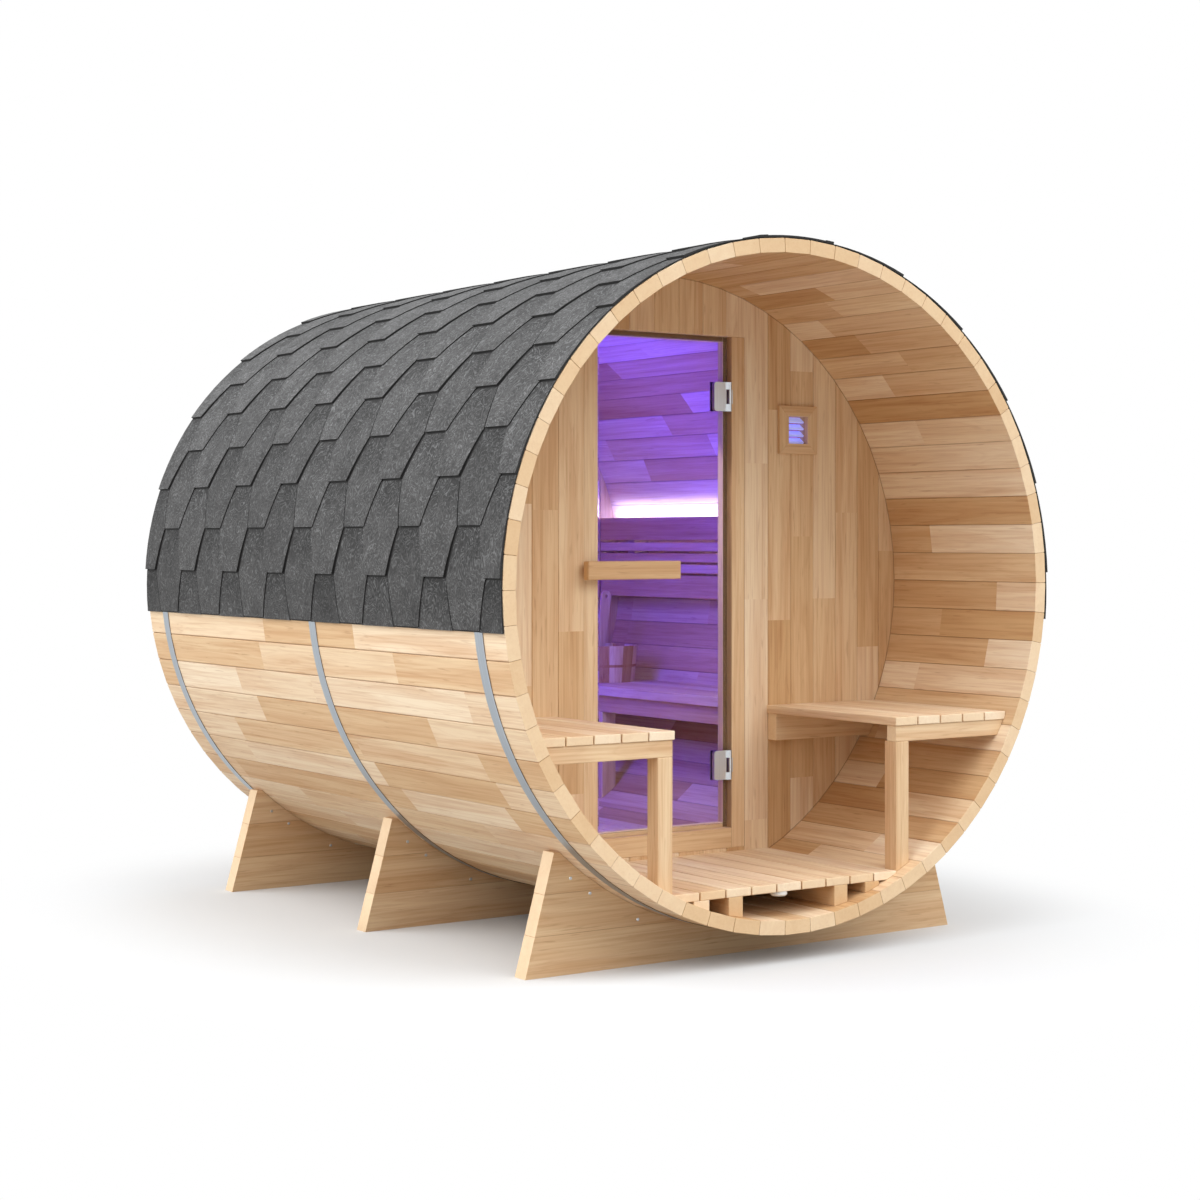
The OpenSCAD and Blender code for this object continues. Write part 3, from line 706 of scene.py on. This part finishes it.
# Tone of the lowest tiles, what the height adds over the first courses, and the spread. The lower
# courses are darker as painted shade.
SHADED_EAVE_TONE = 0.205
LIGHT_RISE = 0.14
TONE_COURSES = 6
TONE_SPREAD = 0.085

# Ridge caps: half the angle that they cover, and the share of it that the tiles leave free
CAP_HALF = math.radians(6.5)
UNDER_CAP = 0.95
CAP_LENGTH = 290 * MM
CAP_GAP = 3 * MM
CAP_LEAST = 5 * MM
CAP_BUTT_H = 5.5 * MM
CAP_HEAD_H = 3.5 * MM


def shingle_side(side, name):
    """One side of the roof: hexagon tiles in lapping courses over a black base sheet, which shows
    through gaps below and beside the tiles as painted shadow lines.
    """
    rng = random.Random(59 if side < 0 else 61)
    made = bmesh.new()
    made.faces.layers.float.new("tone")
    made.verts.layers.float.new("lap")
    ridge_run = COURSES * RISE - ROOF_R * CAP_HALF * UNDER_CAP
    for course in range(-1, COURSES):
        y = FRONT_Y + FIRST_TILE[course % 2] - TILE_PITCH
        while y < BACK_Y + TILE_PITCH:
            tile = hexagon_tile(y, EAVE_TIP if course == 0 else TILE_TIP,
                                TILE_PITCH - (EAVE_TIP if course == -1 else TILE_TIP))
            bmesh.ops.translate(tile, verts=tile.verts, vec=(course * RISE, 0, 0))
            trim(tile, (0, FRONT_Y, 0), (0, -1, 0))
            trim(tile, (0, BACK_Y, 0), (0, 1, 0))
            trim(tile, (0, 0, 0), (-1, 0, 0))
            trim(tile, (ridge_run, 0, 0), (1, 0, 0))
            if tile.faces:
                finish_tile(tile, tile_tone(rng, course), course * RISE, RISE)
                join(made, tile)
            else:
                tile.free()
            y += TILE_PITCH
    join(made, base_sheet())
    wrap(made, side)
    piece(made, name + "_tiles", "sauna", [name], [SHINGLE, BITUMEN_AND_SHADOW])


def tile_tone(rng, course):
    """How light a tile is: the lower courses are darker as painted shade, and no two tiles are
    quite alike.
    """
    height = min(1, (course + 1) / TONE_COURSES)
    return SHADED_EAVE_TONE + LIGHT_RISE * height + TONE_SPREAD * rng.random()


def hexagon_tile(y, tip_w, waist_w):
    """One tile laid flat: x runs up the roof from the tile's lower end and z is the height."""
    bm = bmesh.new()
    waist = waist_w / 2
    tip = tip_w / 2
    head = TILE_TIP / 2
    # Wide gaps below and at the front of the tile show the black sheet as painted shadow lines
    outline = [
        (SHADOW_GAP_BELOW, -tip + SHADOW_GAP_FRONT), (RISE, -waist + SHADOW_GAP_FRONT), (RISE, -waist + GAP_REST),
        (2 * RISE, -head + GAP_REST), (2 * RISE, head - GAP_REST), (RISE, waist - GAP_REST),
        (SHADOW_GAP_BELOW, tip - GAP_REST),
    ]
    under = bm.faces.new([bm.verts.new((a, y + b, BASE_T / 2)) for a, b in outline])
    grown = bmesh.ops.extrude_face_region(bm, geom=[under])["geom"]
    for vert in (g for g in grown if isinstance(g, bmesh.types.BMVert)):
        share = vert.co.x / (2 * RISE)
        vert.co.z = BASE_T + TILE_BUTT_H + share * (TILE_HEAD_H - TILE_BUTT_H)
    bmesh.ops.recalc_face_normals(bm, faces=bm.faces)
    for step in range(1, 2 * BENDS):
        cut(bm, (step * RISE / BENDS, 0, 0), (1, 0, 0))
    return bm


def finish_tile(bm, shade, foot, rise):
    """Marks the tile's tone, its cut edges, and how far each point lies up the tile."""
    tone = bm.faces.layers.float.new("tone")
    for face in bm.faces:
        face[tone] = shade
        face.normal_update()
        face.material_index = 0 if face.normal.z > TURNED else 1
    lap = bm.verts.layers.float.new("lap")
    for vert in bm.verts:
        vert[lap] = (vert.co.x - foot) / rise


def base_sheet():
    """The black sheet under the tiles, laid flat from eave to ridge. In the gaps between the tiles
    it draws painted shadow lines.
    """
    bm = bmesh.new()
    bmesh.ops.create_cube(bm, size=1)
    bmesh.ops.scale(bm, vec=(COURSES * RISE, BACK_Y - FRONT_Y, BASE_T), verts=bm.verts)
    bmesh.ops.translate(bm, vec=(COURSES * RISE / 2, 0, BASE_T / 2), verts=bm.verts)
    for step in range(1, COURSES * BENDS):
        cut(bm, (step * RISE / BENDS, 0, 0), (1, 0, 0))
    for face in bm.faces:
        face.material_index = 1
    return bm


def wrap(bm, side):
    """Bends what was laid flat round the barrel, with x = 0 at the eave, faces outwards."""
    for vert in bm.verts:
        angle = COURSES * COURSE - vert.co.x / ROOF_R
        radius = ROOF_R + vert.co.z
        vert.co = (side * radius * math.sin(angle), vert.co.y, AXIS_Z + radius * math.cos(angle))
    bm.normal_update()
    bmesh.ops.recalc_face_normals(bm, faces=bm.faces)


def ridge_caps():
    """Lapping cap tiles along the ridge, each with its lower end towards the front."""
    rng = random.Random(67)
    made = bmesh.new()
    made.faces.layers.float.new("tone")
    made.verts.layers.float.new("lap")
    half = CAP_HALF * ROOF_R
    ridge = COURSES * COURSE * ROOF_R
    y = FRONT_Y
    while y < BACK_Y - CAP_LEAST:
        end = min(y + CAP_LENGTH, BACK_Y)
        cap = bmesh.new()
        bmesh.ops.create_cube(cap, size=1)
        bmesh.ops.scale(cap, vec=(2 * half, end - y - CAP_GAP, 1), verts=cap.verts)
        bmesh.ops.translate(cap, vec=(ridge, (y + end) / 2, 0), verts=cap.verts)
        for vert in cap.verts:
            top = CAP_BUTT_H if vert.co.y < (y + end) / 2 else CAP_HEAD_H
            vert.co.z = top if vert.co.z > 0 else BASE_T / 2
        for step in range(-3, 4):
            cut(cap, (ridge + step * half / 4, 0, 0), (1, 0, 0))
        finish_tile(cap, tile_tone(rng, COURSES), ridge - half, ROOF_R)
        join(made, cap)
        y += CAP_LENGTH
    wrap(made, 1)
    piece(made, "ridge_cap_tiles", "sauna", ["ridge_cap"], [SHINGLE, BITUMEN_AND_SHADOW])


# Light strip, bands, stops and bucket

STOP_SILL_H = 20 * MM
BUCKET_STAVES = 14
BUCKET_HOOP = 52 * MM
BUCKET_HOOP_W = 9 * MM
BUCKET_LIGHT = 0.95
BUCKET_DARK = 0.1
BUCKET_HOOP_TONE = 0.0


def face_finish(name, node_name, finishes, choose):
    """A copy of a CAD node whose faces take the finish that a test of their direction gives."""
    bm = node_mesh(node_name)
    bm.normal_update()
    for face in bm.faces:
        face.material_index = choose(face.normal)
    piece(bm, name, "sauna", [node_name], finishes)


def door_stops():
    """Wooden strips with painted shade on the face that the glass meets, but not at the sill."""
    bm = node_mesh("door_stops")
    ease(bm, 1.0 * MM)
    grade_boards(bm, random.Random(73), spread=0.4)
    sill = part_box("door_stops")[0].z + STOP_SILL_H
    # Painted shade on the front faces of the stops, behind the glass, except at the sill
    for face in bm.faces:
        if face.normal.y < -TURNED and face.calc_center_median().z > sill:
            face.material_index = len(WOOD)
    piece(bm, "door_stop_strips", "sauna", ["door_stops"], WOOD + [GAP_SHADE])


def bucket():
    """A bucket of staves, light and dark by turns, with a dark hoop."""
    bm = node_mesh("water_bucket")
    low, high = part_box("water_bucket")
    centre = (low + high) / 2
    for step in range(BUCKET_STAVES // 2):
        turn = math.tau * step / BUCKET_STAVES
        cut(bm, centre, (math.cos(turn), math.sin(turn), 0))
    hoop = low.z + BUCKET_HOOP
    for height in (hoop, hoop + BUCKET_HOOP_W):
        cut(bm, (0, 0, height), (0, 0, 1))
    grade_boards(bm, random.Random(92), "z", None, 0.2)
    tone = bm.faces.layers.float["tone"]
    for face in bm.faces:
        middle = face.calc_center_median()
        turn = math.atan2(middle.x - centre.x, centre.y - middle.y) % math.tau
        odd = int(turn * BUCKET_STAVES / math.tau) % 2
        face[tone] = BUCKET_LIGHT if odd else BUCKET_DARK
        if hoop < middle.z < hoop + BUCKET_HOOP_W:
            face[tone] = BUCKET_HOOP_TONE
    piece(bm, "bucket_body", "sauna", ["water_bucket"], WOOD)


# Carried-over nodes

def clothe(node_name, *materials):
    """Gives a CAD node that stays its finish."""
    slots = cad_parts[node_name].data.materials
    slots.clear()
    for made in materials:
        slots.append(made)


# Build

staves()
walls()
vent_frame()
saddles()
shingle_side(-1, "left_shingles")
shingle_side(1, "right_shingles")
ridge_caps()

eased_boards("door_frame_posts", ["left_door_post", "right_door_post"], "sauna",
             seed=71, edge=2.2, grain="z", spread=0.3, centre=0.62, joints="x")
eased_boards("door_sill_board", ["door_sill"], "sauna", seed=72, edge=1.5, spread=0.3)

# Pieces of the floors, the benches and the backrest: CAD node, edge in millimetres, grain where it
# isn't along the longest side, spread of the tones and their middle. Their seeds run on.
# The floor and bench slats have a paler middle tone, as painted light for the light on their tops
BENCH_WOOD = {
    "porch_floor_boards": ("porch_floor_slats", 2.0, None, 0.5, 0.7),
    "cabin_floor_boards": ("cabin_floor_slats", 2.0, None, 0.5, 0.78),
    "floor_joist_bars": ("floor_joists", 1.5, "y", 0.7, 0.5),
    "floor_batten_bars": ("floor_battens", 1.5, None, 0.7, 0.5),
    "left_bench_boards": ("left_bench_slats", 2.0, None, 0.5, 0.78),
    "right_bench_boards": ("right_bench_slats", 2.0, None, 0.5, 0.78),
    "bench_rail_bars": ("bench_rails", 2.0, None, 0.4, 0.5),
    "bench_ledger_bars": ("bench_ledgers", 2.0, None, 0.7, 0.5),
    "bench_leg_posts": ("bench_legs", 2.0, None, 0.2, 0.5),
    "cabin_bench_boards": ("cabin_bench_slats", 2.0, None, 0.4, 0.8),
    "cabin_apron_board": ("cabin_bench_apron", 2.0, None, 0.7, 0.5),
    "cabin_bearer_bars": ("cabin_bench_bearers", 1.5, None, 0.7, 0.5),
    "cabin_leg_posts": ("cabin_bench_legs", 2.0, None, 0.7, 0.5),
    "backrest_planks": ("backrest_boards", 2.0, None, 0.7, 0.5),
    "backrest_batten_bars": ("backrest_battens", 1.5, None, 0.7, 0.5),
}
BENCH_SEED = 75
for seed, (name, row) in enumerate(BENCH_WOOD.items(), BENCH_SEED):
    node_name, edge, grain, spread, centre = row
    eased_boards(name, [node_name], "sauna", seed, edge, grain, spread, centre)

eased_boards("handle_board", ["door_handle"], "door", seed=90, edge=3.0, grain="x",
             spread=0.1, centre=0.3)
eased_boards("handle_peg_dowels", ["handle_pegs"], "door", seed=91, edge=0.5)
eased_boards("ladle_body", ["ladle"], "sauna", seed=93, edge=1.0, spread=0.1,
             centre=0.95)

bucket()
door_stops()
# The louvres glow with painted light, as if lit by the cabin
clothe("vent_louvres", LOUVRE_GLOW)
face_finish("light_strip_profile", "light_strip", [PLASTIC, GLOW],
            lambda normal: int(normal.z > SQUARE))
# The bands' front and back edges take the dark brown of painted gap shade, a line along the gap to
# the staves
for band in ("front_band", "middle_band", "back_band"):
    face_finish(band + "_strip", band, [BAND_STEEL, GAP_SHADE],
                lambda normal: int(abs(normal.y) > TURNED))
clothe("hinge_leaves", HINGE_STEEL)
clothe("hinge_clamps", HINGE_STEEL)
clothe("door_glass", GLASS)
clothe("drain_cap", PLASTIC)


# Floor, world, lamps and camera

# The floor as the camera sees it, and as it throws light back on the sauna
FLOOR_HALF = 60
FLOOR_SEEN = (0.66, 0.677, 0.693, 1.0)
FLOOR_BOUNCE = (0.4, 0.375, 0.345, 1.0)

# It fades to white outside an ellipse: half widths in metres, and the shares of them where the
# fade starts and ends
FADE_X = 1.0
FADE_Y = 1.2
FADE_START = 1.1
FADE_FULL = 1.75


def seen_rays(tree):
    """One where the camera looks, also by way of metal or glass, and nought for other light."""
    path = node(tree, "LightPath")
    seen = node(tree, "Math", {"operation": "MAXIMUM"}, None,
                {0: path["Is Camera Ray"], 1: path["Is Glossy Ray"]})[0]
    return node(tree, "Math", {"operation": "MAXIMUM"}, None,
                {0: seen, 1: path["Is Transmission Ray"]})[0]


def studio_floor():
    """A pale seamless floor that keeps the shadow, and fades to white away from the sauna."""
    bm = bmesh.new()
    bmesh.ops.create_grid(bm, x_segments=1, y_segments=1, size=FLOOR_HALF)
    mesh = bpy.data.meshes.new("studio_floor")
    bm.to_mesh(mesh)
    bm.free()
    made, tree, shader = material("white_floor", Roughness=1.0, Specular_IOR_Level=0.0)
    seen = seen_rays(tree)
    white = node(tree, "MixRGB", None, {"Color1": FLOOR_BOUNCE, "Color2": FLOOR_SEEN},
                 {"Fac": seen})[0]
    tree.links.new(white, shader.inputs["Base Color"])
    place = node(tree, "TexCoord")["Object"]
    footprint = node(tree, "Mapping", None, {"Scale": (1 / FADE_X, 1 / FADE_Y, 1)},
                     {"Vector": place})[0]
    reach = node(tree, "VectorMath", {"operation": "LENGTH"}, None, {0: footprint})["Value"]
    away = node(tree, "MapRange", {"interpolation_type": "SMOOTHSTEP"},
                {"From Min": FADE_START, "From Max": FADE_FULL}, {"Value": reach})[0]
    share = node(tree, "Math", {"operation": "MULTIPLY"}, None, {0: away, 1: seen})[0]
    blank = node(tree, "Emission", None, {"Strength": 1.0})[0]
    mixed = node(tree, "MixShader", None, None, {0: share, 1: shader.outputs[0], 2: blank})[0]
    tree.links.new(mixed, tree.nodes["Material Output"].inputs["Surface"])
    mesh.materials.append(made)
    floor = bpy.data.objects.new("studio_floor", mesh)
    bpy.context.scene.collection.objects.link(floor)


def studio_world(horizon, zenith):
    """White light that is brighter overhead, and a white backdrop."""
    world = bpy.data.worlds.new("studio_world")
    bpy.context.scene.world = world
    world.use_nodes = True
    tree = world.node_tree
    back = tree.nodes["Background"]
    back.inputs["Color"].default_value = (1, 1, 1, 1)
    seen = seen_rays(tree)
    direction = node(tree, "TexCoord")["Generated"]
    height = node(tree, "SeparateXYZ", None, None, {0: direction})["Z"]
    light = node(tree, "MapRange", None, {"To Min": horizon, "To Max": zenith},
                 {"Value": height})[0]
    level = node(tree, "MapRange", None, {"To Max": 1.0}, {"Value": seen, "To Min": light})[0]
    tree.links.new(level, back.inputs["Strength"])


def cabin_lamp(name, place, target, size, power, colour, spread):
    """A soft rectangular lamp inside the cabin, which points at a target and isn't seen itself."""
    light = bpy.data.lights.new(name, "AREA")
    light.shape = "RECTANGLE"
    light.size, light.size_y = size
    light.energy = power
    light.color = colour
    light.spread = math.radians(spread)
    obj = bpy.data.objects.new(name, light)
    obj.visible_camera = False
    obj.visible_glossy = False
    obj.visible_transmission = False
    obj.location = place
    obj.rotation_euler = (Vector(target) - Vector(place)).to_track_quat("-Z", "Y").to_euler()
    bpy.context.scene.collection.objects.link(obj)


def broad_lamp(name, towards_it, strength, spread):
    """A far, broad lamp in the direction given, as wide as the spread in degrees."""
    light = bpy.data.lights.new(name, "SUN")
    light.energy = strength
    light.angle = math.radians(spread)
    obj = bpy.data.objects.new(name, light)
    obj.rotation_euler = (-Vector(towards_it)).to_track_quat("-Z", "Y").to_euler()
    bpy.context.scene.collection.objects.link(obj)


studio_floor()
studio_world(horizon=0.14, zenith=1.2)
broad_lamp("left_lamp", (-1, 0.25, 0.7), strength=2.6, spread=80)
broad_lamp("right_lamp", (0.55, -0.7, 0.9), strength=1.65, spread=60)
broad_lamp("front_lamp", (-0.15, -0.8, 0.7), strength=0.45, spread=60)

VIOLET = (0.07, 0.03, 1.0)
STRIP_LIGHT = (0.45, 0.45, 1.0)
DAYLIGHT = (1.0, 0.95, 0.9)
cabin_lamp("upper_glow", (0.05, 0.3, 1.15), (0.1, 0.3, 1.9), (0.5, 1.0), 6.8, VIOLET, 180)
cabin_lamp("lower_glow", (-0.35, 0.3, 1.3), (0.5, 0.3, 0.8), (0.4, 1.0), 17, VIOLET, 180)
cabin_lamp("strip_glow", (0.818, 0.29, 1.192), (0.85, 0.29, 1.206), (1.38, 0.015), 3.3,
           STRIP_LIGHT, 120)
cabin_lamp("door_daylight", (0.0, -0.38, 1.4), (0.25, 0.0, 0.3), (0.35, 0.2), 1.25, DAYLIGHT, 110)

# The camera stands level, and its shift puts the horizon where the photo has it, in pixels
FRAME = 1200
HORIZON_SHIFT = -59.8
camera = bpy.data.cameras.new("camera")
camera.sensor_width = 36
camera.lens = 67.15
camera.shift_y = HORIZON_SHIFT / FRAME
camera_obj = bpy.data.objects.new("camera", camera)
camera_obj.location = (-3.7649, -5.6352, 1.1114)
camera_obj.rotation_euler = (math.radians(90), 0, math.radians(-34.445))
bpy.context.scene.collection.objects.link(camera_obj)
bpy.context.scene.camera = camera_obj
bpy.context.scene.view_settings.view_transform = "Standard"
